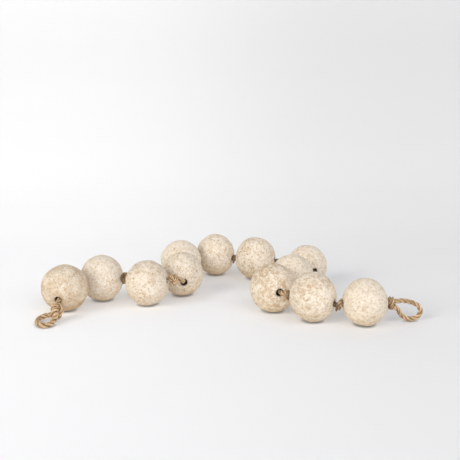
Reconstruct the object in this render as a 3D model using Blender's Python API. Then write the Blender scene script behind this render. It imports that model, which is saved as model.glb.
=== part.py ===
"""A garland of twelve papier-mache balls strung on one jute cord.

The garland lies on a table in a loose wave, each ball on a small flat spot.  The cord runs through
a bore in every ball and is knotted between them, and each of its ends is tied off in a knot with a
loop for hanging.  Sizes in the tables are millimetres and degrees, and the model is in metres.
X runs along the garland, Y away from the viewer and Z up.
"""

import math

import bmesh
import bpy
from mathutils import Matrix, Vector, noise

MM = 0.001

# The balls: how coarse their skin is, how uneven, the bore with its worn mouths, how much of the
# bottom is flat, and the angle from which an edge shows as a crease.
BALL_SEGMENTS = 22
BALL_RINGS = 11
LUMP_HEIGHT = 0.9
LUMP_SPREAD = 2.1
DENT_HEIGHT = 0.35
DENT_SPREAD = 4.6
BORE_RADIUS = 4.3
MOUTH_RADIUS = 6.5
MOUTH_DEPTH = 6.0
FLAT_DEPTH = 0.7
CREASE_ANGLE = 50.0

# The cord: three strands laid up into one rope.  The relief is half the height of a strand over the
# groove beside it, and the lean is the share of it that is taken off all round.
CORD_RADIUS = 3.5
STRANDS = 3
CORD_POINTS = 12
STRAND_RELIEF = 0.38
STRAND_LEAN = 0.35
LAY_LENGTH = 24.0
CORD_STEP = 2.7
BORE_INSET = 6.0

# The knots: the cord's radius where it goes in, how full the knot is along it, and the ridges that
# the cord's turns make on it.
KNOT_RINGS = 9
KNOT_NECK = 3.3
KNOT_FLATNESS = 2.4
KNOT_FULLNESS = 0.55
KNOT_RIDGES = 2
KNOT_RIDGE = 0.9
KNOT_TURN = 2.4

# Each ball in its order on the cord: the middle of the ball on the table; half its width, depth and
# height; where its bore points along the cord (turned from +X, and tilted up); and how far the bore
# misses the middle, to the right of the way it points and above.
BALLS = [
    # name, x, y, half_width, half_depth, half_height, bore_turn, bore_tilt, bore_right, bore_above
    ("ball_01", -244.0, -72.7, 38.4, 37.8, 37.9, 85.5, 14.5, 0.5, -0.5),
    ("ball_02", -192.0, -17.7, 36.0, 37.2, 39.0, -22.0, 2.5, 0.0, 1.0),
    ("ball_03", -112.5, -43.2, 36.1, 36.9, 37.8, -12.0, 2.0, 1.0, 6.0),
    ("ball_04", -56.2, 10.8, 36.0, 36.6, 38.0, 99.0, 6.5, 0.0, 0.0),
    ("ball_05", -65.0, 102.3, 37.0, 36.8, 37.3, 76.0, 1.0, -1.0, 0.5),
    ("ball_06", -1.8, 142.3, 35.9, 37.0, 38.7, -26.0, -3.0, 0.0, -1.0),
    ("ball_07", 73.0, 113.5, 36.9, 37.9, 38.9, -16.0, 1.5, 0.0, -1.5),
    ("ball_08", 164.5, 63.3, 34.6, 35.9, 37.5, -71.0, 3.0, 0.5, 0.5),
    ("ball_09", 133.2, -4.7, 35.6, 36.2, 37.5, -149.0, 0.0, -0.5, 1.0),
    ("ball_10", 95.7, -76.7, 37.7, 38.2, 40.0, -77.0, 4.0, 0.0, 0.0),
    ("ball_11", 157.0, -126.2, 36.8, 37.6, 39.8, -24.0, -5.0, 5.5, -1.0),
    ("ball_12", 234.3, -143.2, 34.9, 36.0, 37.3, 2.0, 0.0, 1.0, -1.5),
]

# The knots in their order on the cord, from the left end knot to the right one: the middle of each,
# the way that the cord runs there, half its length along the cord, and its radius.
KNOTS = [
    # x, y, z, turn, tilt, half_length, radius
    (-245.0, -125.7, 18.0, 97.0, 30.0, 8.0, 9.2),
    (-236.6, -15.2, 44.0, 64.0, -18.0, 5.0, 8.8),
    (-153.8, -33.4, 41.8, -17.5, 0.0, 4.4, 9.2),
    (-70.3, -50.7, 46.8, 0.0, 2.0, 4.6, 8.8),
    (-69.5, 55.5, 39.5, 114.0, -10.0, 5.0, 8.6),
    (-50.9, 155.1, 38.3, 38.0, 0.0, 5.2, 8.8),
    (33.6, 125.1, 34.4, -21.0, 0.0, 3.0, 7.6),
    (115.7, 103.8, 37.3, -2.0, -6.0, 4.4, 8.0),
    (174.4, 21.7, 38.5, -121.0, 0.0, 4.6, 8.0),
    (89.0, -30.8, 37.2, -117.5, 0.0, 4.8, 8.4),
    (114.6, -118.8, 42.0, 1.0, -2.0, 4.6, 7.8),
    (194.2, -146.4, 33.9, -6.0, -1.0, 4.2, 8.4),
    (276.1, -144.2, 33.4, -8.0, -8.0, 5.6, 10.0),
]

# The middle line of each end loop between its knot's two legs, from one leg round to the other.
LEFT_LOOP = [
    (-254.1, -127.3, 13.7),
    (-265.5, -125.2, 8.6),
    (-272.0, -128.7, 5.8),
    (-274.5, -137.7, 4.2),
    (-272.0, -149.2, 3.9),
    (-265.0, -158.2, 3.8),
    (-256.0, -161.2, 3.8),
    (-249.0, -156.2, 4.2),
    (-245.0, -147.2, 6.4),
    (-244.2, -133.4, 13.6),
]
RIGHT_LOOP = [
    (283.7, -142.4, 37.4),
    (293.0, -137.7, 38.2),
    (303.0, -132.7, 35.4),
    (314.0, -128.2, 30.6),
    (322.5, -125.7, 23.6),
    (325.5, -125.7, 15.4),
    (321.0, -127.2, 7.6),
    (311.0, -129.2, 3.9),
    (301.5, -129.7, 6.4),
    (293.0, -132.2, 13.4),
    (288.0, -135.7, 20.4),
    (283.4, -140.8, 27.2),
]


def clear_scene():
    """Start from an empty file."""
    for old in list(bpy.data.objects):
        bpy.data.objects.remove(old, do_unlink=True)


def material(name, colour, roughness):
    """A matt material of one plain colour."""
    made = bpy.data.materials.new(name)
    made.use_nodes = True
    shader = made.node_tree.nodes["Principled BSDF"]
    shader.inputs["Base Color"].default_value = (*colour, 1.0)
    shader.inputs["Roughness"].default_value = roughness
    shader.inputs["Metallic"].default_value = 0.0
    return made


def direction(turn, tilt):
    """The unit vector that is turned from +X about Z and tilted up, in degrees."""
    turn, tilt = math.radians(turn), math.radians(tilt)
    return Vector((math.cos(turn) * math.cos(tilt), math.sin(turn) * math.cos(tilt), math.sin(tilt)))


def add_object(name, bm, finish):
    """Make the mesh an object of its own, with smooth shading and its material."""
    bmesh.ops.recalc_face_normals(bm, faces=bm.faces)
    mesh = bpy.data.meshes.new(name)
    bm.to_mesh(mesh)
    bm.free()
    mesh.shade_smooth()
    mesh.set_sharp_from_angle(angle=math.radians(CREASE_ANGLE))
    mesh.materials.append(finish)
    made = bpy.data.objects.new(name, mesh)
    bpy.context.scene.collection.objects.link(made)
    return made


def bridge(bm, one, other):
    """Join two rings of the same number of points with a band of faces."""
    count = len(one)
    for i in range(count):
        bm.faces.new((one[i], one[(i + 1) % count], other[(i + 1) % count], other[i]))


class Ball:
    """One ball: its uneven skin, its place on the table and the two mouths of its bore."""

    def __init__(self, number, row):
        self.name, x, y, *self.half, turn, tilt, right, above = row
        self.seed = Vector((7.3 * number, 3.1 * number, 5.7 * number))
        self.axis = direction(turn, tilt)
        self.side = self.axis.cross(Vector((0.0, 0.0, 1.0))).normalized()
        self.over = self.side.cross(self.axis)
        self.aside = self.side * right + self.over * above
        lowest = min(self.skin(*angles).z for angles in self.grid())
        self.middle = Vector((x + self.aside.x, y + self.aside.y, -lowest - FLAT_DEPTH))
        self.entry = self.middle + self.mouth(-self.axis)
        self.exit = self.middle + self.mouth(self.axis)

    def reach(self, way):
        """How far the skin is from the middle of the bore, in a direction."""
        square = sum((w / h) ** 2 for w, h in zip(way, self.half))
        cross = sum(w * a / h**2 for w, a, h in zip(way, self.aside, self.half))
        rest = sum((a / h) ** 2 for a, h in zip(self.aside, self.half)) - 1.0
        smooth = (math.sqrt(cross**2 - square * rest) - cross) / square
        lumps = LUMP_HEIGHT * noise.noise(way * LUMP_SPREAD + self.seed)
        dents = DENT_HEIGHT * noise.noise(way * DENT_SPREAD - self.seed)
        return smooth + lumps + dents

    def mouth_angle(self, way):
        """The angle from the bore's line at which the skin turns into the mouth."""
        return math.asin(MOUTH_RADIUS / self.reach(way))

    def mouth(self, way):
        """The middle of a mouth, from the middle of the bore."""
        return way * self.reach(way) * math.cos(self.mouth_angle(way))

    def grid(self):
        """The angles of the skin's points: from the bore's line, and around it."""
        first, last = self.mouth_angle(self.axis), math.pi - self.mouth_angle(-self.axis)
        for k in range(BALL_RINGS + 1):
            polar = first + (last - first) * k / BALL_RINGS
            for j in range(BALL_SEGMENTS):
                yield polar, math.tau * j / BALL_SEGMENTS

    def around(self, angle):
        """The unit vector across the bore, at an angle around it."""
        return self.side * math.cos(angle) + self.over * math.sin(angle)

    def skin(self, polar, angle):
        """A point of the skin, from the middle of the bore."""
        way = self.axis * math.cos(polar) + self.around(angle) * math.sin(polar)
        return way * self.reach(way)

    def bore_ring(self, bm, place):
        """A ring of the bore's wall, around a place on its line."""
        ring = []
        for j in range(BALL_SEGMENTS):
            across = self.around(math.tau * j / BALL_SEGMENTS) * BORE_RADIUS
            ring.append(bm.verts.new((place + across) * MM))
        return ring

    def build(self, finish):
        """Make the ball one closed solid: skin, mouths and bore, cut flat where it rests."""
        bm = bmesh.new()
        points = [bm.verts.new((self.middle + self.skin(*angles)) * MM) for angles in self.grid()]
        rings = [points[i : i + BALL_SEGMENTS] for i in range(0, len(points), BALL_SEGMENTS)]
        rings.append(self.bore_ring(bm, self.entry + self.axis * MOUTH_DEPTH))
        rings.append(self.bore_ring(bm, self.exit - self.axis * MOUTH_DEPTH))
        for one, other in zip(rings, rings[1:] + rings[:1]):
            bridge(bm, one, other)
        geometry = bm.verts[:] + bm.edges[:] + bm.faces[:]
        down = Vector((0.0, 0.0, -1.0))
        bmesh.ops.bisect_plane(bm, geom=geometry, plane_co=(0, 0, 0), plane_no=down, clear_outer=True)
        rim = [edge for edge in bm.edges if edge.is_boundary]
        bmesh.ops.edgeloop_fill(bm, edges=rim)
        return add_object(self.name, bm, finish)


class Route:
    """A smooth line through places, each with the way that the line runs there."""

    FINE = 24

    def __init__(self, places, ways):
        self.points, self.ways, self.lengths = [places[0]], [ways[0]], [0.0]
        for start, way, end, end_way in zip(places, ways, places[1:], ways[1:]):
            pull = (end - start).length
            for i in range(1, self.FINE + 1):
                self.step(start, way * pull, end, end_way * pull, i / self.FINE)

    def step(self, start, pull_out, end, pull_in, t):
        """One more point of the curve, at the share t of the way from start to end."""
        place = start * (2 * t**3 - 3 * t**2 + 1) + pull_out * (t**3 - 2 * t**2 + t)
        place += end * (3 * t**2 - 2 * t**3) + pull_in * (t**3 - t**2)
        way = (end - start) * (6 * t - 6 * t**2)
        way += pull_out * (3 * t**2 - 4 * t + 1) + pull_in * (3 * t**2 - 2 * t)
        self.lengths.append(self.lengths[-1] + (place - self.points[-1]).length)
        self.points.append(place)
        self.ways.append(way.normalized())

    def at(self, length):
        """The place at a length along the line, and the way that it runs there."""
        i = 1
        while i < len(self.lengths) - 1 and self.lengths[i] < length:
            i += 1
        span = self.lengths[i] - self.lengths[i - 1]
        share = (length - self.lengths[i - 1]) / span
        place = self.points[i - 1].lerp(self.points[i], share)
        return place, self.ways[i - 1].lerp(self.ways[i], share).normalized()


class Rope:
    """A rope of three strands that is swept along routes, ring by ring."""

    def __init__(self):
        self.rings = []
        self.turned = 0.0

    def add_ring(self, place, way, radii, step):
        """One more ring of points square to the rope, after a step along its lay."""
        self.turned += math.tau * step / LAY_LENGTH
        self.rings.append((place, way, radii, self.turned))

    def plain_radii(self):
        """The radii round the rope where its strands show."""
        crests = [math.cos(math.tau * STRANDS * j / CORD_POINTS) for j in range(CORD_POINTS)]
        return [CORD_RADIUS + STRAND_RELIEF * (crest - STRAND_LEAN) for crest in crests]

    def knot_radii(self, share, radius):
        """The radii round a knot, at a share of the way from its middle to its end."""
        swell = max(0.0, 1.0 - abs(share) ** KNOT_FLATNESS) ** KNOT_FULLNESS
        radii = []
        for j in range(CORD_POINTS):
            wave = math.cos(KNOT_RIDGES * math.tau * j / CORD_POINTS + KNOT_TURN * share)
            radii.append(KNOT_NECK + (radius - CORD_RADIUS + KNOT_RIDGE * wave) * swell)
        return radii

    def plain(self, route, left_off=0):
        """Sweep the plain rope along a route, with some rings left off its far end."""
        whole = route.lengths[-1]
        count = max(1, round(whole / CORD_STEP))
        for i in range(count + 1 - left_off):
            self.add_ring(*route.at(whole * i / count), self.plain_radii(), whole / count)

    def knot(self, middle, way, half_length, radius):
        """Sweep a knot straight along its own way."""
        for i in range(KNOT_RINGS):
            share = math.sin(math.pi * (i / (KNOT_RINGS - 1) - 0.5))
            place = middle + way * share * half_length
            self.add_ring(place, way, self.knot_radii(share, radius), 0.0)

    def build(self, name, finish):
        """The rope as one closed solid."""
        bm = bmesh.new()
        across = self.rings[0][1].orthogonal().normalized()
        rings = []
        for place, way, radii, turned in self.rings:
            across = (across - way * across.dot(way)).normalized()
            ring = []
            for j, radius in enumerate(radii):
                turn = Matrix.Rotation(turned + math.tau * j / CORD_POINTS, 3, way)
                ring.append(bm.verts.new((place + turn @ across * radius) * MM))
            rings.append(ring)
        for one, other in zip(rings, rings[1:]):
            bridge(bm, one, other)
        bm.faces.new(rings[0])
        bm.faces.new(rings[-1])
        return add_object(name, bm, finish)


def strung_cord(balls, finish):
    """The cord through all the balls, with the knots between them and the two end knots."""
    rope = Rope()
    for row, before, after in zip(KNOTS, [None, *balls], [*balls, None]):
        middle, way, half_length, radius = Vector(row[:3]), direction(*row[3:5]), *row[5:]
        if before:
            start = before.exit - before.axis * BORE_INSET
            rope.plain(Route([start, middle - way * half_length], [before.axis, way]), left_off=1)
        rope.knot(middle, way, half_length, radius)
        if after:
            end = after.entry + after.axis * BORE_INSET
            leaving = middle + way * (half_length + CORD_STEP)
            rope.plain(Route([leaving, end], [way, after.axis]))
    return rope.build("cord_strung", finish)


def end_loop(name, points, finish):
    """A loop of the same rope, from its end knot round and back to it."""
    points = [Vector(p) for p in points]
    ways = [(points[1] - points[0]).normalized()]
    ways += [(c - a).normalized() for a, c in zip(points, points[2:])]
    ways.append((points[-1] - points[-2]).normalized())
    rope = Rope()
    rope.plain(Route(points, ways))
    return rope.build(name, finish)


def main():
    """Build every piece of the garland."""
    clear_scene()
    papier_mache = material("papier_mache", (0.70, 0.60, 0.45), 0.9)
    jute = material("jute", (0.36, 0.22, 0.11), 0.95)
    balls = [Ball(number, row) for number, row in enumerate(BALLS, start=1)]
    for ball in balls:
        ball.build(papier_mache)
    strung_cord(balls, jute)
    end_loop("loop_left", LEFT_LOOP, jute)
    end_loop("loop_right", RIGHT_LOOP, jute)


main()
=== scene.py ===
"""A papier-mache ball garland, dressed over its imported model.

Twelve whitewashed papier-mache balls are strung on one jute cord, with a knot between each two and
a loop at each end.  The file is laid out as an add-on: each operator makes one kind of piece, and
the panel in the sidebar lists them.  Sizes in the tables are millimetres and degrees, in the frame
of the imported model, and meshes are in metres.
"""

import math

import bmesh
import bpy
from mathutils import Matrix, Vector, noise


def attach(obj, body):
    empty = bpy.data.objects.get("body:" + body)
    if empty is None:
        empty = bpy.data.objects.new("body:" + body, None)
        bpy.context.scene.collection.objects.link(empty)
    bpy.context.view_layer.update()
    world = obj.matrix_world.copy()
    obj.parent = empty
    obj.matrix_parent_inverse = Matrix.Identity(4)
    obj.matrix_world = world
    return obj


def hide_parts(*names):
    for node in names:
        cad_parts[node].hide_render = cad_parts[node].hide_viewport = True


bl_info = {
    "name": "Papier-mache ball garland",
    "version": (1, 0, 0),
    "blender": (4, 5, 0),
    "location": "View3D > Sidebar > Garland",
    "description": "Balls of papier-mache pulp on a knotted jute cord with end loops",
    "category": "Object",
}

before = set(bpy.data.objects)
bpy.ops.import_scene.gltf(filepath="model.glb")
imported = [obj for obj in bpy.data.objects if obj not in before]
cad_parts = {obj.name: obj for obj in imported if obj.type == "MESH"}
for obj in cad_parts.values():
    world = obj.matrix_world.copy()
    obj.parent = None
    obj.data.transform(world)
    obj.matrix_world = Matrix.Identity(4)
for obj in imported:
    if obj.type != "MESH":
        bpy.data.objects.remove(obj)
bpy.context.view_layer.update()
MM = 0.001

# Each ball in its order on the cord: the middle of the ball on the table; half its width, depth
# and height; where its bore points along the cord (turned from +X, and tilted up); how far the bore
# misses the middle, to the right of the way it points and above; and the radii of its two mouths.
BALLS = [
    # name, x, y, half_width, half_depth, half_height, turn, tilt, right, above, entry, exit
    ("ball_01", -244.0, -72.7, 38.4, 37.8, 37.9, 82.8, 13.4, 0.5, -0.5, 6.0, 5.0),
    ("ball_02", -192.2, -17.7, 36.3, 37.2, 39.0, -13.0, 2.5, 0.0, 1.0, 5.0, 4.9),
    ("ball_03", -112.5, -43.2, 36.1, 36.9, 37.8, -12.0, 2.0, 1.0, 6.0, 4.9, 5.0),
    ("ball_04", -57.0, 10.8, 36.0, 36.6, 38.0, 97.4, 8.2, 0.0, 0.0, 6.4, 5.0),
    ("ball_05", -65.0, 102.3, 37.0, 36.8, 37.3, 76.0, 1.0, -1.0, 0.5, 5.0, 5.0),
    ("ball_06", -1.8, 142.3, 35.9, 37.0, 38.7, -26.0, -3.0, 0.0, -1.0, 5.0, 4.9),
    ("ball_07", 73.0, 113.5, 36.9, 37.9, 38.9, -16.0, 1.5, 0.0, -1.5, 4.9, 4.9),
    ("ball_08", 163.5, 63.3, 35.6, 35.9, 37.8, -71.0, 0.0, 0.5, 0.5, 5.0, 4.8),
    ("ball_09", 132.2, -4.7, 36.6, 36.2, 38.1, -149.0, 0.0, -0.5, 1.0, 5.0, 5.0),
    ("ball_10", 95.7, -76.7, 37.7, 38.2, 40.0, -77.0, 4.0, 0.0, 0.0, 5.0, 6.6),
    ("ball_11", 155.6, -125.8, 36.8, 37.6, 39.5, -24.0, -5.0, 5.5, -1.0, 4.9, 4.9),
    ("ball_12", 234.3, -143.2, 34.9, 36.0, 37.3, 2.0, 0.0, 1.0, -1.5, 4.9, 4.9),
]

# The skin of each ball, in the same order: how much bare tan pulp and how much wash it shows, how
# strong its dark specks are, how mottled it is and how much its foot is made tan and darker, partly
# its own tan and partly painted shade and painted warm bounce from the floor.
SKINS = [
    # tan, wash, specks, mottle, foot
    (0.58, 0.38, 0.95, 0.35, 0.80),
    (0.34, 0.88, 0.50, 0.40, 0.60),
    (0.46, 0.54, 0.80, 0.45, 0.40),
    (0.45, 0.68, 1.00, 0.50, 0.80),
    (0.34, 0.76, 0.15, 0.20, 0.30),
    (0.46, 0.72, 0.90, 0.45, 0.90),
    (0.40, 0.68, 1.00, 0.75, 1.00),
    (0.36, 0.78, 0.60, 0.60, 0.30),
    (0.28, 0.80, 0.60, 0.60, 0.30),
    (0.60, 0.46, 0.50, 1.00, 0.70),
    (0.46, 0.54, 0.70, 0.70, 0.40),
    (0.34, 0.64, 0.45, 0.50, 0.60),
]

# The lumps and dents of the balls' shape, the step through the noise from one ball to the next,
# and the depth of the flat that each rests on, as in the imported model.
LUMP_HEIGHT, LUMP_SPREAD = 0.9, 2.1
DENT_HEIGHT, DENT_SPREAD = 0.35, 4.6
SEED_STEPS = (7.3, 3.1, 5.7)
FLAT_DEPTH = 0.7

# The directions in which a ball's lowest point is looked for, in degrees.
DOWN_TURNS, DOWN_TILTS = range(0, 360, 15), range(60, 91, 3)

# How coarse the lumps and the crumbs raised on the balls are.
LUMP_GRAIN, PULP_GRAIN = 9.0, 3.4

# The sphere that all balls are copied from: the ring, counted from its pole, that becomes a mouth,
# and how far from its middle the points of its skin are at least, where its radius is 1.
MOUTH_RING = 3
SKIN_LEAST = 0.9995

# The wall of a bore behind its mouth: how deep each ring of it lies, and how wide it is there as a
# share of the mouth.
BORE_WALL = [
    # depth, share
    (0.9, 0.95),
    (3.0, 0.91),
    (8.0, 0.90),
    (21.0, 0.90),
]

# How dark a bore is: at its rim, how fast that fades over the skin, on its wall right behind the
# mouth, and how much more with each millimetre inwards. The wall's darkness is painted shade; the
# rim is darkened towards the mouth.
RIM_SHADE, RIM_FADE = 0.22, 2.6
WALL_SHADE, WALL_DARKENS = 0.45, 0.2

# The cord in a bore: how far behind the mouth it runs straight on, the share of the mouth that it
# may fill, and how much of its pull aside at the lip is left where it runs straight.
CORD_INSET = 12.0
LIP_ROOM = 0.96
PULLED_ASIDE = 0.7

# The knots between the balls, in their order on the cord: the middle of each, the way that the cord
# runs there, half its length along the cord, its radius, how far it is rolled round the cord, and
# how much painted shade darkens its jute where the cord enters and where it leaves: 0 is plain,
# over 1 is dark.
KNOTS = [
    # x, y, z, turn, tilt, half_length, radius, roll, dark_in, dark_out
    (-236.6, -15.2, 44.0, 64.0, -18.0, 5.0, 8.8, 0.0, 0.3, 0.3),
    (-150.8, -33.4, 41.8, -17.5, 0.0, 3.7, 9.0, 250.0, 1.2, 0.0),
    (-67.9, -50.7, 46.4, -4.0, 0.0, 7.0, 8.6, 90.0, 0.3, 0.0),
    (-69.5, 55.5, 39.5, 114.0, -10.0, 5.0, 8.6, 0.0, 0.3, 0.3),
    (-50.9, 155.1, 38.3, 38.0, 0.0, 5.2, 8.8, 0.0, 0.3, 0.3),
    (33.6, 125.1, 34.4, -21.0, 0.0, 3.0, 7.8, 60.0, 1.1, 0.9),
    (112.4, 104.1, 35.0, -2.0, -10.0, 3.2, 5.8, 0.0, 1.0, 1.0),
    (174.0, 20.7, 30.6, -121.0, 0.0, 4.4, 5.6, 0.0, 1.5, 1.0),
    (89.0, -30.8, 37.2, -117.5, 0.0, 4.8, 8.4, 0.0, 0.3, 0.3),
    (115.4, -118.8, 41.2, 1.0, -2.0, 4.6, 8.2, 140.0, 0.2, 1.0),
    (193.6, -146.4, 31.9, -6.0, -1.0, 4.5, 9.8, 320.0, 1.1, 0.1),
]

# The knot at the cord's left end, as above, and the one at its right end, where the loop's tail is
# wound round the cord: its middle, the way from the loop's side to the ball, half its length, its
# radius, and the winding's turns and where it starts round the cord.
LEFT_KNOT = (-246.9, -129.4, 15.8, 98.0, 34.0, 10.6, 9.3, 30.0, 0.0, 0.1)
RIGHT_KNOT = (274.6, -144.2, 34.6, 172.0, 8.0, 6.2, 10.8, 1.9, 200.0)
HALF_LENGTH, DARK_IN = 5, 8  # where a knot's row has these

# The first half of the cord's course through one tight overhand knot, in radii of the cord: along
# the cord, and the two ways across it.  The second half is the same, turned half round.
OVERHAND = [
    # along, across, over
    (-3.10, 0.10, -0.06),
    (-1.75, 0.38, -0.10),
    (-0.44, -0.40, 0.92),
    (1.00, -1.59, 0.59),
    (2.25, -1.32, -0.81),
    (2.39, 0.29, -1.79),
    (1.39, 1.85, -1.37),
    (0.00, 2.13, 0.00),
]
KNOT_REACH = 3.4  # from a knot's middle to its end, in radii of the cord
KNOT_WIDTH = 2.75  # from its middle to its side
KNOT_GIVE = 0.6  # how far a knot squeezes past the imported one's ends, in millimetres
KNOT_TIGHTNESS = 1.1  # how much fuller the squeezed cord is than the course leaves room for
KNOT_LEAD = 2.5  # how far in from a knot's ends the cord becomes that full, in radii
# the knot's painted shade changes from its entry's to its exit's over this length
KNOT_TONE_REACH = 4.0  # the length over which its jute changes its tone, in radii

TAIL_THICKNESS = 0.88  # of a loop's wound tail, as a share of the cord's
TAIL_SLANT = 0.22  # how far its turns lean along the cord
TAIL_PLACES = 12  # places on each turn
TAIL_TUCK, TAIL_TUCK_TURNS = 0.45, 0.16  # how far its ends are tucked in, over how many turns
TAIL_WAVE, TAIL_WAVES = 0.05, 1.7  # how uneven its turns are, and how often in a turn

# The steps between the rings of points along the cord: outside the balls, in their bores, in the
# loops and in the wound tail in millimetres, and in the knots in radii.
CORD_STEP, BORE_STEP, LOOP_STEP, TAIL_STEP = 1.1, 3.0, 1.0, 0.9
KNOT_STEP = 0.42

# How far the strung cord runs on to each side of its last knot's middle, as a share of half the
# knot's length.
LAST_RUN = 0.8

# The middle line of each end loop, from one leg in its knot round to the other.
LEFT_LOOP = [
    (-249.6, -129.6, 14.8),
    (-255.1, -128.8, 11.4),
    (-265.0, -126.4, 8.0),
    (-271.9, -129.7, 6.0),
    (-274.3, -138.7, 4.6),
    (-271.8, -149.6, 4.2),
    (-264.8, -158.6, 4.2),
    (-257.0, -160.6, 4.2),
    (-251.2, -154.8, 4.6),
    (-248.4, -146.4, 6.6),
    (-246.9, -137.2, 10.8),
    (-246.6, -132.2, 13.6),
]
RIGHT_LOOP = [
    (277.4, -144.4, 37.4),
    (283.7, -142.4, 37.3),
    (293.0, -137.7, 36.6),
    (303.0, -132.7, 33.6),
    (314.0, -128.2, 29.0),
    (322.5, -125.7, 22.8),
    (325.5, -125.7, 15.4),
    (321.0, -127.2, 7.6),
    (311.0, -129.2, 3.9),
    (301.5, -129.7, 5.8),
    (293.0, -132.2, 12.0),
    (288.0, -135.7, 20.4),
    (283.2, -140.8, 26.0),
    (277.6, -143.4, 31.0),
]
LOOPS = [
    # node, middle line, thickness as a share of the strung cord's
    ("loop_left", LEFT_LOOP, 1.17),
    ("loop_right", RIGHT_LOOP, 1.03),
]

# The noises of the pulp, each with its scale per metre, its detail and its distortion.
PULP_NOISES = {
    "broad": (26.0, 3.0, 0.4),
    "brush": (62.0, 5.0, 0.8),
    "spots": (150.0, 2.0, 0.3),
    "crumb": (265.0, 3.0, 1.1),
    "speck": (330.0, 2.0, 0.8),
}

# The pulp is bare where the broad noise is over a value, and washed where the brush's noise is.
# A ball's own share lowers that value, its tan share by half of itself, and each sets in over its
# reach.
BARE_FROM, BARE_REACH, TAN_COUNTS = 0.62, 0.28, 0.5
WASH_FROM, WASH_REACH = 0.76, 0.34

# How bare the pulp is made on the foot, and how much of its wash is left there; the foot's tan is
# partly the pulp's own and partly painted shade.
FOOT_BARE, FOOT_WASH = 0.45, 0.35

# Colours of the pulp's specks; of the warmer, darker tint on a ball's foot, partly its own tan and
# partly painted shade and painted warm bounce; and of the painted shade inside a bore, which also
# darkens its rim.
SPECK = (0.35, 0.225, 0.115, 1.0)
FOOT_TAN_AND_SHADE = (1.0, 0.91, 0.74, 1.0)
BORE_DARK = (0.03, 0.018, 0.01, 1.0)

# How far the jute's fibres lean across a strand and how often they change along it, per metre;
# and how far from a strand's middle the groove beside it begins and is deepest, in its widths.
FIBRE_LEAN, FIBRE_RUN = 26.0, 60.0
GROOVE_FROM, GROOVE_TO = 0.27, 0.48

# Colours of the painted shade in the jute's grooves, and of the painted shade on knots that sit
# between the balls.
GROOVE_DARK = (0.10, 0.057, 0.026, 1.0)
KNOT_PAINTED_SHADE = (0.045, 0.022, 0.012, 1.0)


# Settings


class BallSettings(bpy.types.PropertyGroup):
    """Sizes and colours of the papier-mache balls."""

    segments: bpy.props.IntProperty(
        name="Segments", description="Faces round a ball before it is smoothed", default=80
    )
    rings: bpy.props.IntProperty(
        name="Rings", description="Faces from pole to pole before smoothing", default=54
    )
    lump: bpy.props.FloatProperty(
        name="Lumps",
        description="Height of the hand-formed lumps",
        default=0.7 * MM,
        subtype="DISTANCE",
        unit="LENGTH",
    )
    pulp: bpy.props.FloatProperty(
        name="Pulp",
        description="Height of the pulp's crumbs",
        default=0.5 * MM,
        subtype="DISTANCE",
        unit="LENGTH",
    )
    # below this height the underside is made barer and darker, partly its own tan and partly
    # painted shade and painted warm bounce
    foot: bpy.props.FloatProperty(
        name="Tan and shaded foot",
        description="Height up to which a ball's underside is barer and darker, partly its own tan and partly painted shade",
        default=34.0 * MM,
        subtype="DISTANCE",
        unit="LENGTH",
    )
    cream: bpy.props.FloatVectorProperty(
        name="Cream", description="Plain skin", default=(0.655, 0.548, 0.415), subtype="COLOR"
    )
    tan: bpy.props.FloatVectorProperty(
        name="Tan", description="Bare pulp", default=(0.43, 0.29, 0.16), subtype="COLOR"
    )
    wash: bpy.props.FloatVectorProperty(
        name="Whitewash", description="Brushed wash", default=(0.725, 0.655, 0.56), subtype="COLOR"
    )


class CordSettings(bpy.types.PropertyGroup):
    """Sizes and colours of the jute cord."""

    diameter: bpy.props.FloatProperty(
        name="Diameter",
        description="Thickness of the cord",
        default=7.0 * MM,
        subtype="DISTANCE",
        unit="LENGTH",
    )
    lay: bpy.props.FloatProperty(
        name="Lay",
        description="Length in which a strand goes once round the cord",
        default=30.0 * MM,
        subtype="DISTANCE",
        unit="LENGTH",
    )
    groove: bpy.props.FloatProperty(
        name="Groove",
        description="Distance of a strand's middle from the cord's, as a share of its radius",
        default=0.45,
        subtype="FACTOR",
    )
    light: bpy.props.FloatVectorProperty(
        name="Light fibre", description="Dry fibre", default=(0.82, 0.585, 0.355), subtype="COLOR"
    )
    dark: bpy.props.FloatVectorProperty(
        name="Dark fibre",
        description="Fibre between",
        default=(0.22, 0.132, 0.062),
        subtype="COLOR",
    )


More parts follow.
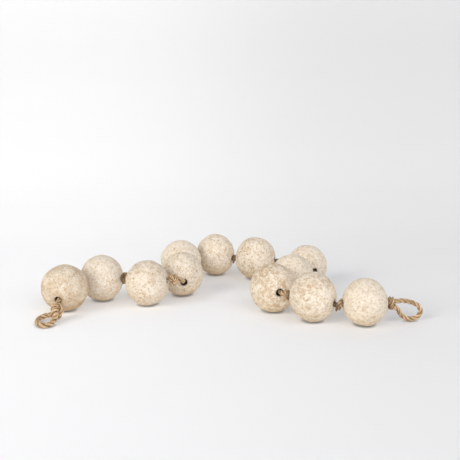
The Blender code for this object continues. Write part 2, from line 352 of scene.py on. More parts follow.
class StageSettings(bpy.types.PropertyGroup):
    """The floor, the lamps and the light from all round."""

    front: bpy.props.FloatProperty(
        name="Front lamp", description="Strength of the broad lamp in front", default=2.6
    )
    front_size: bpy.props.FloatProperty(
        name="Front softness",
        description="How wide the front and back lamps are, seen from the garland",
        default=math.radians(75.0),
        subtype="ANGLE",
        unit="ROTATION",
    )
    side: bpy.props.FloatProperty(
        name="Side lamp", description="Strength of the lamp from the left", default=2.4
    )
    side_size: bpy.props.FloatProperty(
        name="Side softness",
        description="How wide the side lamp is, seen from the garland",
        default=math.radians(38.0),
        subtype="ANGLE",
        unit="ROTATION",
    )
    sky: bpy.props.FloatProperty(
        name="Fill", description="Strength of the light from all round", default=0.09
    )
    back: bpy.props.FloatProperty(
        name="Back lamp", description="Strength of the faint lamp behind", default=1.1
    )
    # painted light falloff: the sweep's paper is toned brighter on the left and dimmer on the right
    bright: bpy.props.FloatProperty(
        name="Bright side", description="Tone of the sweep on the left", default=0.985
    )
    dim: bpy.props.FloatProperty(
        name="Dim side", description="Tone of the sweep on the right", default=0.80
    )
    fade: bpy.props.FloatProperty(
        name="Fade",
        description="How far from the middle the sweep has most of its side's tone",
        default=0.32,
        subtype="DISTANCE",
        unit="LENGTH",
    )
    # painted contact shadow on the sweep, within this distance of what stands on it
    contact: bpy.props.FloatProperty(
        name="Contact",
        description="How far from what stands on it the paper is darker",
        default=5.0 * MM,
        subtype="DISTANCE",
        unit="LENGTH",
    )
    # painted light: the sweep glows with this share of its brightness, though no lamp is behind it
    glow: bpy.props.FloatProperty(
        name="Glow",
        description="Share of the sweep's brightness that it gives off itself, as painted light",
        default=0.17,
        subtype="FACTOR",
    )


# Helpers

COLUMN, ROW = 210, -190  # the spacing of shader nodes in their editor


def direction(turn, tilt):
    """The unit vector that is turned from +X about Z and tilted up, in degrees."""
    turn, tilt = math.radians(turn), math.radians(tilt)
    level = math.cos(tilt)
    return Vector((math.cos(turn) * level, math.sin(turn) * level, math.sin(tilt)))


def put(tree, kind, spot, values, **options):
    """Add a shader node; a value that is a socket is linked, and any other is set."""
    node = tree.nodes.new("ShaderNode" + kind)
    node.location = (spot[0] * COLUMN, spot[1] * ROW)
    for key, value in options.items():
        setattr(node, key, value)
    for key, value in values.items():
        if isinstance(value, bpy.types.NodeSocket):
            tree.links.new(value, node.inputs[key])
        else:
            node.inputs[key].default_value = value
    return node


def new_group(name, inputs, outputs):
    """A shader node group with named inputs and outputs."""
    tree = bpy.data.node_groups.new(name, "ShaderNodeTree")
    for label, kind in inputs:
        tree.interface.new_socket(label, in_out="INPUT", socket_type="NodeSocket" + kind)
    for label, kind in outputs:
        tree.interface.new_socket(label, in_out="OUTPUT", socket_type="NodeSocket" + kind)
    given = tree.nodes.new("NodeGroupInput")
    given.location = (-COLUMN, 0)
    return tree, given.outputs


def put_out(tree, spot, **sockets):
    """Link the sockets to the group's outputs, by name."""
    end = tree.nodes.new("NodeGroupOutput")
    end.location = (spot[0] * COLUMN, spot[1] * ROW)
    for label, socket in sockets.items():
        tree.links.new(socket, end.inputs[label])


def new_material(name):
    """An empty node material and its matt shader."""
    made = bpy.data.materials.new(name)
    made.use_nodes = True
    shader = made.node_tree.nodes["Principled BSDF"]
    shader.inputs["Metallic"].default_value = 0.0
    shader.inputs["Specular IOR Level"].default_value = 0.25
    return made, made.node_tree, shader


def make_active(made):
    """Select only this object."""
    bpy.ops.object.select_all(action="DESELECT")
    made.select_set(True)
    bpy.context.view_layer.objects.active = made


def dress(made, node):
    """Let a piece ride on the garland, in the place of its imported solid."""
    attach(made, "root")
    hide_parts(node)


# Finishes


def blend(tree, spot, share, under, over, **options):
    """Mix two colours; the second lies over the first by the share."""
    values = {"Fac": share, "Color1": under, "Color2": over}
    return put(tree, "MixRGB", spot, values, **options).outputs[0]


def maths(tree, spot, operation, one, other=0.0, **options):
    """The outcome of a sum with one value or two."""
    values = {0: one, 1: other}
    return put(tree, "Math", spot, values, operation=operation, **options).outputs[0]


def times(tree, spot, one, other):
    """The product of two values, between 0 and 1."""
    return maths(tree, spot, "MULTIPLY", one, other, use_clamp=True)


def ramp(tree, spot, value, low, high, floor=0.0, top=1.0, step="SMOOTHSTEP"):
    """A step from floor, where the value is low, to top, where it is high."""
    values = {"Value": value, "From Min": low, "From Max": high, "To Min": floor, "To Max": top}
    return put(tree, "MapRange", spot, values, interpolation_type=step).outputs[0]


def grain(tree, spot, place, scale, detail, distortion=0.0, roughness=0.6):
    """Noise over a surface, with its scale per unit of the place."""
    values = {"Vector": place, "Scale": scale, "Detail": detail}
    values.update({"Distortion": distortion, "Roughness": roughness})
    return put(tree, "TexNoise", spot, values).outputs["Fac"]


def surface(tree, shader, group, values, strength, depth):
    """Let a node group with these values give the shader its colour, roughness and bumps."""
    pattern = put(tree, "Group", (-3, 0), values, node_tree=group).outputs
    heights = {"Strength": strength, "Distance": depth, "Height": pattern["Height"]}
    bump = put(tree, "Bump", (-2, 1), heights)
    tree.links.new(pattern["Color"], shader.inputs["Base Color"])
    tree.links.new(pattern["Roughness"], shader.inputs["Roughness"])
    tree.links.new(bump.outputs["Normal"], shader.inputs["Normal"])


def attribute(tree, row, name):
    """The value that a piece's mesh stores under a name."""
    return put(tree, "Attribute", (-4, row), {}, attribute_name=name).outputs["Fac"]


def pulp_skin():
    """Node group: the crumbly pulp of a ball under its brushed whitewash."""
    colours = [(name, "Color") for name in ("Cream", "Tan", "Wash")]
    values = ("Tan Share", "Wash Share", "Specks", "Mottle", "Rim And Bore Darkening", "Foot Tan And Darkening")
    tree, given = new_group(
        "pulp skin",
        [("Place", "Vector"), *colours, *((name, "Float") for name in values)],
        [("Color", "Color"), ("Height", "Float"), ("Roughness", "Float")],
    )
    broad, brush, spots, crumb, speck = (
        grain(tree, (1, row), given["Place"], *noise_values)
        for row, noise_values in enumerate(PULP_NOISES.values())
    )
    # bare tan pulp in broad patches, and on the foot, where it is partly the pulp's own tan and
    # partly painted shade
    part = times(tree, (2, -1), given["Tan Share"], TAN_COUNTS)
    low = maths(tree, (2, 0), "SUBTRACT", BARE_FROM, part)
    high = maths(tree, (3, -2), "ADD", low, BARE_REACH)
    bare = ramp(tree, (3, 0), broad, low, high, floor=0.05, top=0.72)
    foot = times(tree, (3, -1), given["Foot Tan And Darkening"], FOOT_BARE)
    bare = maths(tree, (4, 0), "MAXIMUM", bare, foot)
    skin = blend(tree, (5, 0), bare, given["Cream"], given["Tan"])
    # the wash lies in brushed patches, stays on the crumbs' tops and is thinned on the foot, partly
    # as painted shade
    edge = maths(tree, (2, 1), "SUBTRACT", WASH_FROM, given["Wash Share"])
    full = maths(tree, (3, 1), "ADD", edge, WASH_REACH)
    patch = ramp(tree, (4, 1), brush, edge, full)
    tops = ramp(tree, (3, 3), crumb, 0.38, 0.58, floor=0.15, top=0.95)
    washed = times(tree, (5, 1), patch, tops)
    foot_wash_left = ramp(tree, (5, 2), given["Foot Tan And Darkening"], 0.0, 1.0, floor=1.0, top=FOOT_WASH)
    coat = blend(tree, (6, 0), times(tree, (6, 1), washed, foot_wash_left), skin, given["Wash"])
    # mottles: flecks of wash and blots of tan
    fleck = ramp(tree, (3, 2), spots, 0.53, 0.62, top=0.75)
    pale = blend(tree, (7, 0), times(tree, (6, 2), fleck, given["Mottle"]), coat, given["Wash"])
    blot = ramp(tree, (4, 2), spots, 0.47, 0.36, top=0.55)
    mottled = blend(tree, (8, 0), times(tree, (7, 2), blot, given["Mottle"]), pale, given["Tan"])
    # tan in the pits between the crumbs, and specks of dark pulp
    pit = ramp(tree, (4, 4), crumb, 0.44, 0.31, top=0.55)
    pitted = blend(tree, (9, 0), pit, mottled, given["Tan"])
    dot = ramp(tree, (3, 4), speck, 0.57, 0.66, top=0.80)
    dots = times(tree, (5, 4), dot, given["Specks"])
    dotted = blend(tree, (10, 0), dots, pitted, SPECK)
    # the foot is tinted warmer and darker, partly its own tan and partly painted shade and painted
    # warm bounce
    foot_toned = blend(tree, (11, 0), given["Foot Tan And Darkening"], dotted, FOOT_TAN_AND_SHADE, blend_type="MULTIPLY")
    # painted shade on the bore's wall, and the rim darkened towards the mouth
    rim_and_bore_darkened = blend(tree, (12, 0), given["Rim And Bore Darkening"], foot_toned, BORE_DARK)
    raised = maths(tree, (8, 3), "SUBTRACT", crumb, dots)
    matt = ramp(tree, (8, 4), crumb, 0.0, 1.0, floor=0.97, top=0.82)
    put_out(tree, (13, 0), Color=rim_and_bore_darkened, Height=raised, Roughness=matt)
    return tree


def ball_finish(group, name, skin, settings):
    """The finish of one ball: the pulp skin with this ball's own shares."""
    made, tree, shader = new_material(name)
    tan, wash, specks, mottle, _ = skin
    # the pattern is turned by the ball's own shares
    where = put(tree, "TexCoord", (-5, 0), {}).outputs["Object"]
    rotation = (tan * 7.0, wash * 5.0, 0.4)
    turned = put(tree, "Mapping", (-4, 0), {"Vector": where, "Rotation": rotation})
    values = {
        "Place": turned.outputs[0],
        "Cream": (*settings.cream, 1.0),
        "Tan": (*settings.tan, 1.0),
        "Wash": (*settings.wash, 1.0),
        "Tan Share": tan,
        "Wash Share": wash,
        "Specks": specks,
        "Mottle": mottle,
        # the bore's painted shade, and the foot's tan and painted shade, as stored on the mesh
        "Rim And Bore Darkening": attribute(tree, 2, "rim_dark_and_bore_painted_shade"),
        "Foot Tan And Darkening": attribute(tree, 3, "foot_tan_and_painted_shade"),
    }
    surface(tree, shader, group, values, strength=0.6, depth=0.6 * MM)
    return made


def jute_strands():
    """Node group: fibres along the three strands of the cord, with painted shade in the grooves."""
    tree, given = new_group(
        "jute strands",
        [("Round", "Vector"), ("Light", "Color"), ("Dark", "Color"), ("Knot Painted Shade", "Float")],
        [("Color", "Color"), ("Height", "Float"), ("Roughness", "Float")],
    )
    parts = put(tree, "SeparateXYZ", (1, 0), {0: given["Round"]}).outputs
    # the grooves, darkened as painted shade: a strand's middle is where three times the way round
    # is half past a whole
    thirds = maths(tree, (2, 0), "MULTIPLY", parts["X"], 3.0)
    inside = maths(tree, (3, 0), "FRACT", thirds)
    off = maths(tree, (4, 0), "SUBTRACT", inside, 0.5)
    off = maths(tree, (5, 0), "ABSOLUTE", off)
    groove = ramp(tree, (6, 0), off, GROOVE_FROM, GROOVE_TO, step="LINEAR")
    # fibres run along a strand, a little across it
    lean = maths(tree, (2, 2), "MULTIPLY", parts["Y"], FIBRE_LEAN)
    across = maths(tree, (3, 2), "ADD", thirds, lean)
    along = maths(tree, (3, 3), "MULTIPLY", parts["Y"], FIBRE_RUN)
    way = put(tree, "CombineXYZ", (4, 2), {"X": across, "Y": along}).outputs[0]
    fibre = grain(tree, (5, 2), way, 9.0, 4.0, roughness=0.65)
    blotch = grain(tree, (5, 3), way, 1.7, 2.0, roughness=0.5)
    mixed = maths(tree, (6, 2), "ADD", fibre, blotch)
    tone = ramp(tree, (7, 2), mixed, 0.72, 1.28, step="LINEAR")
    straw = blend(tree, (8, 0), tone, given["Dark"], given["Light"])
    # painted shade in the grooves
    deep = blend(tree, (9, 0), times(tree, (8, 1), groove, 0.94), straw, GROOVE_DARK)
    # painted shade on knots that sit between the balls
    knot_shaded = blend(tree, (10, 0), times(tree, (9, 3), given["Knot Painted Shade"], 0.62), deep, KNOT_PAINTED_SHADE)
    matt = ramp(tree, (9, 2), fibre, 0.0, 1.0, floor=1.0, top=0.8, step="LINEAR")
    put_out(tree, (11, 0), Color=knot_shaded, Height=fibre, Roughness=matt)
    return tree


def cord_finish(group, name, settings):
    """The finish of a jute cord that has its way round and length in its UV map."""
    made, tree, shader = new_material(name)
    values = {
        "Round": put(tree, "UVMap", (-4, 0), {}, uv_map="lay").outputs["UV"],
        "Light": (*settings.light, 1.0),
        "Dark": (*settings.dark, 1.0),
        "Knot Painted Shade": attribute(tree, 2, "painted_knot_shade"),
    }
    surface(tree, shader, group, values, strength=0.7, depth=0.5 * MM)
    return made


# Balls


class Ball:
    """The shape of one ball: its uneven skin, its place on the table and its bore's mouths."""

    def __init__(self, number, row):
        self.name, x, y, *self.half, turn, tilt, right, above, entry, leaving = row
        self.mouths = {-1: entry, 1: leaving}
        self.seed = Vector([step * number for step in SEED_STEPS])
        self.axis = direction(turn, tilt)
        self.side = self.axis.cross(Vector((0.0, 0.0, 1.0))).normalized()
        self.over = self.side.cross(self.axis)
        self.aside = self.side * right + self.over * above
        below = [direction(turn, -tilt) for turn in DOWN_TURNS for tilt in DOWN_TILTS]
        lowest = min(way.z * self.reach(way) for way in below)
        self.middle = Vector((x + self.aside.x, y + self.aside.y, -lowest - FLAT_DEPTH))

    def reach(self, way):
        """How far the skin is from the middle of the bore, in a direction."""
        square = sum((w / h) ** 2 for w, h in zip(way, self.half))
        cross = sum(w * a / h**2 for w, a, h in zip(way, self.aside, self.half))
        rest = sum((a / h) ** 2 for a, h in zip(self.aside, self.half)) - 1.0
        smooth = (math.sqrt(cross**2 - square * rest) - cross) / square
        lumps = LUMP_HEIGHT * noise.noise(way * LUMP_SPREAD + self.seed)
        dents = DENT_HEIGHT * noise.noise(way * DENT_SPREAD - self.seed)
        return smooth + lumps + dents

    def mouth_angle(self, end):
        """The angle from the bore's line at which the skin turns into the mouth at one end."""
        return math.asin(self.mouths[end] / self.reach(self.axis * end))

    def mouth(self, end):
        """The middle of the mouth where the cord enters, at -1, or leaves, at 1."""
        way = self.axis * end
        return self.middle + way * self.reach(way) * math.cos(self.mouth_angle(end))

    def across(self, angle):
        """The unit vector across the bore, at an angle around it."""
        return self.side * math.cos(angle) + self.over * math.sin(angle)

    def skin(self, share, angle):
        """A point of the skin at a share of the way from the exit's mouth to the entry's."""
        first, last = self.mouth_angle(1), math.pi - self.mouth_angle(-1)
        polar = first + (last - first) * share
        way = self.axis * math.cos(polar) + self.across(angle) * math.sin(polar)
        return self.middle + way * self.reach(way)

    def wall(self, end, depth, share, angle):
        """A point of the bore's wall, behind the mouth at one end."""
        inwards = self.axis * -end * depth
        return self.mouth(end) + inwards + self.across(angle) * share * self.mouths[end]

    def cord_places(self, end, outside, way, radius):
        """Where and how the cord runs from a knot outside over the lip of a mouth."""
        mouth = self.mouth(end)
        pull = outside - mouth
        pull = (pull - self.axis * pull.dot(self.axis)).normalized()
        pull *= self.mouths[end] * LIP_ROOM - radius
        lip = mouth + pull
        inside = mouth - self.axis * end * CORD_INSET + pull * PULLED_ASIDE
        heading = (inside - outside).normalized() * -end
        places, ways = [outside, lip, inside], [way, heading, self.axis]
        return (places, ways) if end < 0 else (places[::-1], ways[::-1])


def bored_sphere(settings):
    """Model one sphere with a hole through it, to be copied for every ball."""
    cut = math.pi * (MOUTH_RING - 0.5) / settings.rings
    bpy.ops.object.select_all(action="DESELECT")
    bpy.ops.mesh.primitive_uv_sphere_add(
        segments=settings.segments, ring_count=settings.rings, radius=1.0
    )
    made = bpy.context.object
    bpy.ops.object.mode_set(mode="EDIT")
    bpy.ops.mesh.select_mode(type="VERT")
    bpy.ops.mesh.select_all(action="DESELECT")
    mesh = bmesh.from_edit_mesh(made.data)
    for vert in mesh.verts:
        vert.select_set(abs(vert.co.z) > math.cos(cut))
    bmesh.update_edit_mesh(made.data)
    bpy.ops.mesh.delete(type="VERT")
    bpy.ops.mesh.select_mode(type="EDGE")
    mesh = bmesh.from_edit_mesh(made.data)
    for edge in mesh.edges:
        edge.select_set(edge.is_boundary)
    bmesh.update_edit_mesh(made.data)
    bpy.ops.mesh.bridge_edge_loops(number_cuts=2 * len(BORE_WALL))
    bpy.ops.mesh.select_all(action="SELECT")
    bpy.ops.mesh.normals_make_consistent(inside=False)
    bpy.ops.object.mode_set(mode="OBJECT")
    made.data.attributes.new("rim_dark_and_bore_painted_shade", "FLOAT", "POINT")
    return made


def shape_ball(made, ball, settings):
    """Move a copy of the bored sphere onto a ball's own skin, mouths and bore."""
    cap = math.pi * MOUTH_RING / settings.rings
    shade = made.data.attributes["rim_dark_and_bore_painted_shade"].data
    rows = 2 * len(BORE_WALL) + 1
    for vert in made.data.vertices:
        x, y, z = vert.co
        angle = math.atan2(y, x)
        if vert.co.length > SKIN_LEAST:
            polar = math.acos(max(-1.0, min(1.0, z)))
            place = ball.skin((polar - cap) / (math.pi - 2.0 * cap), angle)
            near = min(polar, math.pi - polar) / cap
            # the rim is darkened towards the mouth
            shade[vert.index].value = RIM_SHADE * max(0.0, 1.0 - (near - 1.0) * RIM_FADE)
        else:
            row = round((1.0 - abs(z) / math.cos(cap)) * rows / 2.0) - 1
            depth, share = BORE_WALL[max(0, min(row, len(BORE_WALL) - 1))]
            place = ball.wall(1 if z > 0.0 else -1, depth, share, angle)
            # painted shade on the bore's wall, darker further in
            shade[vert.index].value = min(1.0, WALL_SHADE + WALL_DARKENS * depth)
        vert.co = place * MM
    made.data.update()


def roughen(made, settings, foot_share):
    """Smooth a ball, raise its lumps and crumbs, rest it on the table and shade its foot."""
    make_active(made)
    smooth = made.modifiers.new("smooth", "SUBSURF")
    smooth.levels = smooth.render_levels = 1
    bpy.ops.object.modifier_apply(modifier=smooth.name)
    for name, height in (("lumps", settings.lump), ("pulp", settings.pulp)):
        raised = made.modifiers.new(name, "DISPLACE")
        raised.texture = bpy.data.textures[name]
        raised.texture_coords = "LOCAL"
        raised.strength, raised.mid_level = height, 0.5
        bpy.ops.object.modifier_apply(modifier=raised.name)
    # the foot's tan and painted shade, fading out up to the foot's height
    foot = made.data.attributes.new("foot_tan_and_painted_shade", "FLOAT", "POINT").data
    for vert in made.data.vertices:
        vert.co.z = max(vert.co.z, 0.0)
        foot[vert.index].value = foot_share * max(0.0, 1.0 - vert.co.z / settings.foot)
    bpy.ops.object.shade_smooth()


class GARLAND_OT_balls(bpy.types.Operator):
    """Make the twelve papier-mache balls"""

    bl_idname = "garland.balls"
    bl_label = "Papier-mache balls"

    def execute(self, context):
        settings = context.scene.garland_balls
        lumps = bpy.data.textures.new("lumps", "CLOUDS")
        lumps.noise_scale, lumps.noise_depth = LUMP_GRAIN * MM, 2
        pulp = bpy.data.textures.new("pulp", "CLOUDS")
        pulp.noise_scale, pulp.noise_depth = PULP_GRAIN * MM, 1
        pulp.noise_basis = "VORONOI_F2_F1"
        group = pulp_skin()
        pattern = bored_sphere(settings)
        for number, (row, skin) in enumerate(zip(BALLS, SKINS), start=1):
            ball = Ball(number, row)
            make_active(pattern)
            bpy.ops.object.duplicate(linked=False)
            made = context.view_layer.objects.active
            made.name = made.data.name = f"papier_mache_ball_{number:02d}"
            shape_ball(made, ball, settings)
            roughen(made, settings, skin[-1])
            finish = ball_finish(group, f"papier-mache {number}", skin, settings)
            made.data.materials.append(finish)
            dress(made, ball.name)
        bpy.data.objects.remove(pattern, do_unlink=True)
        return {"FINISHED"}


# Cord


class Route:
    """A smooth line through places, each with the way that the line runs there."""

    FINE = 24  # points from one place to the next

    def __init__(self, places, ways):
        self.points, self.ways, self.lengths = [places[0]], [ways[0]], [0.0]
        for start, way, end, end_way in zip(places, ways, places[1:], ways[1:]):
            pull = (end - start).length
            for i in range(1, self.FINE + 1):
                self.step(start, way * pull, end, end_way * pull, i / self.FINE)

    @classmethod
    def through(cls, places):
        """A line through places alone, each run in the direction of its neighbours."""
        ways = [places[1] - places[0]]
        ways += [after - before for before, after in zip(places, places[2:])]
        ways.append(places[-1] - places[-2])
        return cls(places, [way.normalized() for way in ways])

    def step(self, start, pull_out, end, pull_in, t):
        """One more point of the curve, at the share t of the way from start to end."""
        place = start * (2 * t**3 - 3 * t**2 + 1) + pull_out * (t**3 - 2 * t**2 + t)
        place += end * (3 * t**2 - 2 * t**3) + pull_in * (t**3 - t**2)
        way = (end - start) * (6 * t - 6 * t**2)
        way += pull_out * (3 * t**2 - 4 * t + 1) + pull_in * (3 * t**2 - 2 * t)
        self.lengths.append(self.lengths[-1] + (place - self.points[-1]).length)
        self.points.append(place)
        self.ways.append(way.normalized())

    def spaced(self, step):
        """The places at even steps along the line, each with its way and the step's length."""
        whole = self.lengths[-1]
        count = max(2, round(whole / step))
        i = 1
        for k in range(count + 1):
            length = whole * k / count
            while i < len(self.lengths) - 1 and self.lengths[i] < length:
                i += 1
            share = (length - self.lengths[i - 1]) / (self.lengths[i] - self.lengths[i - 1])
            place = self.points[i - 1].lerp(self.points[i], share)
            yield place, self.ways[i - 1].lerp(self.ways[i], share).normalized(), whole / count


class Rope:
    """Rope of three strands, swept ring by ring; each run of it is one closed length."""

    POINTS = 30  # round each ring
    FULLNESS = 1.09  # the strands' tops over the rope's stated radius

    def __init__(self, settings, thickness=1.0):
        self.radius = settings.diameter / MM / 2.0 * thickness
        self.lay = settings.lay / MM
        self.groove = settings.groove
        self.runs, self.turned, self.length, self.across = [], 0.0, 0.0, None
        self.dark = 0.0

    def begin(self):
        """Begin another closed length."""
        self.runs.append([])
        self.across = None

    def strand(self, round_share):
        """The rope's outline there, as a share of its radius: three round strands."""
        off = math.tau * (((round_share * 3.0) % 1.0) - 0.5) / 3.0
        wide = 1.0 - self.groove
        rise = math.sqrt(wide**2 - (self.groove * math.sin(off)) ** 2)
        return self.FULLNESS * (self.groove * math.cos(off) + rise)

    def add_ring(self, place, way, step, stretch=None, radius=None):
        """One more ring of points square to the rope, after a step along its lay."""
        if self.across is None:
            self.across = way.orthogonal()
        self.across = (self.across - way * self.across.dot(way)).normalized()
        self.turned += math.tau * step / self.lay
        self.length += step
        radius = self.radius if radius is None else radius
        ring = []
        for j in range(self.POINTS):
            turn = Matrix.Rotation(self.turned + math.tau * j / self.POINTS, 3, way)
            offset = turn @ self.across * radius * self.strand(j / self.POINTS)
            ring.append(place + (stretch @ offset if stretch else offset))
        self.runs[-1].append((ring, self.length, self.dark))

    def plain(self, route, step):
        """Sweep the plain rope along a route."""
        for place, way, length in route.spaced(step):
            self.add_ring(place, way, length)

    def overhand(self, row):
        """Sweep the rope through a tight overhand knot, squeezed to its place."""
        middle, way = knot_place(row)
        half_length, radius, roll, dark_in, dark_out = row[5:]
        turn = Matrix.Rotation(math.radians(roll), 3, way)
        side = turn @ way.cross(Vector((0.0, 0.0, 1.0))).normalized()
        axes = Matrix((way, side, way.cross(side))).transposed()
        long, wide = (half_length + KNOT_GIVE) / KNOT_REACH, radius / KNOT_WIDTH
        stretch = axes @ Matrix.Diagonal((long, wide, wide)) @ axes.transposed()
        half = [Vector(p) for p in OVERHAND]
        course = half + [Vector((-p.x, p.y, -p.z)) for p in reversed(half[:-1])]
        route = Route.through(course)
        whole = route.lengths[-1]
        done = 0.0
        for place, heading, length in route.spaced(KNOT_STEP):
            near = min(done, whole - done)
            share = max(0.0, 1.0 - near / KNOT_LEAD)
            full = KNOT_TIGHTNESS + (self.radius / wide - KNOT_TIGHTNESS) * share
            # the knot's painted shade goes from its entry's to its exit's
            passed = min(max(0.5 + place.x / KNOT_TONE_REACH, 0.0), 1.0)
            self.dark = dark_in + (dark_out - dark_in) * passed
            place = middle + stretch @ (axes @ place)
            self.add_ring(place, axes @ heading, length * wide, stretch, full)
            done += length

    def winding(self, row):
        """Wind the loop's tail round the cord, squeezed to an end knot's length."""
        middle, way = knot_place(row)
        half_length, radius, turns, start = row[5:]
        side = way.cross(Vector((0.0, 0.0, 1.0))).normalized()
        over = side.cross(way)
        thick = self.radius * TAIL_THICKNESS
        reach = turns * thick
        squeeze = half_length / (reach + thick)
        axes = Matrix((way, side, over)).transposed()
        stretch = axes @ Matrix.Diagonal((squeeze, 1.0, 1.0)) @ axes.transposed()
        steps = round(turns * TAIL_PLACES)
        places = []
        for k in range(steps + 1):
            share = k / steps
            angle = math.radians(start) + math.tau * turns * share
            tucked = max(0.0, 1.0 - min(share, 1.0 - share) * turns / TAIL_TUCK_TURNS)
            out = (radius - thick * self.FULLNESS) * (1.0 - TAIL_TUCK * tucked)
            out *= 1.0 + TAIL_WAVE * math.sin(angle * TAIL_WAVES)
            along = reach * (2.0 * share - 1.0) + TAIL_SLANT * out * math.cos(angle)
            round_it = side * math.cos(angle) + over * math.sin(angle)
            places.append(way * along + round_it * out)
        self.begin()
        for place, heading, length in Route.through(places).spaced(TAIL_STEP):
            self.add_ring(middle + stretch @ place, heading, length, stretch, thick)

    def build(self, name, finish):
        """The rope as one mesh of closed runs, its way round and its length in a UV map."""
        mesh = bmesh.new()
        lay = mesh.loops.layers.uv.new("lay")
        # the painted shade of the knots, stored at each point
        tone = mesh.verts.layers.float.new("painted_knot_shade")
        count = self.POINTS
        for run in self.runs:
            rings = []
            for ring, _, dark in run:
                # the cord lies flat where it touches the table
                flat = [Vector((x, y, max(z, 0.0))) for x, y, z in ring]
                rings.append([mesh.verts.new(place * MM) for place in flat])
                for vert in rings[-1]:
                    vert[tone] = dark
            for k in range(len(rings) - 1):
                one, other = rings[k], rings[k + 1]
                for j in range(count):
                    after = (j + 1) % count
                    face = mesh.faces.new((one[j], one[after], other[after], other[j]))
                    corners = ((j, k), (j + 1, k), (j + 1, k + 1), (j, k + 1))
                    for loop, (a, b) in zip(face.loops, corners):
                        loop[lay].uv = (a / count, run[b][1] * MM)
            mesh.faces.new(reversed(rings[0]))
            mesh.faces.new(rings[-1])
        bmesh.ops.recalc_face_normals(mesh, faces=mesh.faces)
        data = bpy.data.meshes.new(name)
        mesh.to_mesh(data)
        mesh.free()
        data.shade_smooth()
        data.materials.append(finish)
        made = bpy.data.objects.new(name, data)
        bpy.context.scene.collection.objects.link(made)
        return made


def knot_place(row):
    """A knot's middle and the way that the cord runs there."""
    return Vector(row[:3]), direction(*row[3:5])


def knot_end(row, end):
    """Where and how the cord leaves a knot, at its near end, -1, or its far one, 1."""
    middle, way = knot_place(row)
    reach = -OVERHAND[0][0] * (row[HALF_LENGTH] + KNOT_GIVE) / KNOT_REACH
    return middle + way * reach * end, way


def jute(context):
    """The node group of the jute's strands, made once."""
    return bpy.data.node_groups.get("jute strands") or jute_strands()


class GARLAND_OT_strung_cord(bpy.types.Operator):
    """Make the cord through the balls with its knots"""

    bl_idname = "garland.strung_cord"
    bl_label = "Strung cord and knots"

    def execute(self, context):
        settings = context.scene.garland_cord
        balls = [Ball(number, row) for number, row in enumerate(BALLS, start=1)]
        rope = Rope(settings)
        rope.begin()
        knots, last = [LEFT_KNOT, *KNOTS], RIGHT_KNOT
        for k, ball in enumerate(balls):
            rope.overhand(knots[k])
            outside, way = knot_end(knots[k], 1)
            places, ways = ball.cord_places(-1, outside, way, rope.radius)
            rope.plain(Route(places, ways), CORD_STEP)
            # the cord through the bore and on to the next knot takes that knot's painted shade
            rope.dark = 0.0
            if k < len(KNOTS):
                after, way = knot_end(KNOTS[k], -1)
                rope.dark = KNOTS[k][DARK_IN]
            else:
                middle, back = knot_place(last)
                way = -back
                after = middle - way * last[HALF_LENGTH] * LAST_RUN
            leaving, ways = ball.cord_places(1, after, way, rope.radius)
            rope.plain(Route([places[-1], leaving[0]], [ball.axis, ball.axis]), BORE_STEP)
            rope.plain(Route(leaving, ways), CORD_STEP)
        end = after + way * last[HALF_LENGTH] * (2.0 * LAST_RUN)
        rope.plain(Route([after, end], [way, way]), CORD_STEP)
        rope.dark = 0.0
        rope.winding(last)
        made = rope.build("jute_cord_strung", cord_finish(jute(context), "jute cord", settings))
        dress(made, "cord_strung")
        return {"FINISHED"}


class GARLAND_OT_end_loops(bpy.types.Operator):
    """Make the two hanging loops at the cord's ends"""

    bl_idname = "garland.end_loops"
    bl_label = "End loops"

    def execute(self, context):
        settings = context.scene.garland_cord
        for node, points, thick in LOOPS:
            places = [Vector(p) for p in points]
            route = Route.through(places)
            rope = Rope(settings, thick)
            rope.begin()
            rope.plain(route, LOOP_STEP)
            made = rope.build("jute_" + node, cord_finish(jute(context), "jute " + node, settings))
            dress(made, node)
            [place * MM for place, way, step in route.spaced(LOOP_STEP)]
        return {"FINISHED"}


# Stage


# How far the sweep's tone is kept down along it, so that it looks even where it throws light on
# itself: the length from its front edge in metres, and the share.
SWEEP_TONES = [
    # along, share
    (0.0, 1.0),
    (2.35, 0.99),
    (2.75, 0.955),
    (3.05, 0.912),
    (3.32, 0.875),
    (3.46, 0.906),
    (3.58, 0.91),
    (3.76, 0.915),
    (3.95, 0.905),
    (4.10, 0.868),
    (4.30, 0.842),
    (7.00, 0.842),
]

# The sweep in metres: its floor from the front edge to the bend, the bend's radius, the upright
# wall over the bend, its width, and where its front edge lies.
SWEEP_FLOOR, SWEEP_BEND, SWEEP_WALL = 3.35, 0.6, 2.2
SWEEP_WIDTH, SWEEP_START = 6.0, -2.9

# The sweep's paper: how much of its tone the painted contact shadow leaves right under what stands
# on it, and its tint.
CONTACT_TONE = 0.4
PAPER_TINT = (1.0, 1.0, 1.01)

# The colours of the lamps and of the light from all round, and the tone of the room past the
# sweep's edges.
WARM, COOL = (1.02, 0.995, 0.94), (0.975, 0.985, 1.02)
FILL_COLOUR = (0.93, 0.98, 1.06, 1.0)
ROOM_TONE = 0.82

# The photo's camera: its lens and sensor in millimetres, its place in metres, and how far it looks
# down in degrees.
LENS, SENSOR = 62.92, 36.0
CAMERA_PLACE, CAMERA_DIP = (0.0255, -1.3312, 0.421), 12.83


def lamps(settings):
    """Each lamp's name, strength, size, the way to it and its colour."""
    return (
        ("side lamp", settings.side, settings.side_size, (-0.71, -0.60, 0.42), WARM),
        ("front lamp", settings.front, settings.front_size, (0.54, -0.74, 0.40), COOL),
        ("back lamp", settings.back, settings.front_size, (0.10, 0.80, 0.55), COOL),
    )


def kept_down(along):
    """The share that the sweep keeps of its tone, at a length from its front edge."""
    for (low, one), (high, other) in zip(SWEEP_TONES, SWEEP_TONES[1:]):
        if low <= along <= high:
            return one + (other - one) * (along - low) / (high - low)
    return 1.0


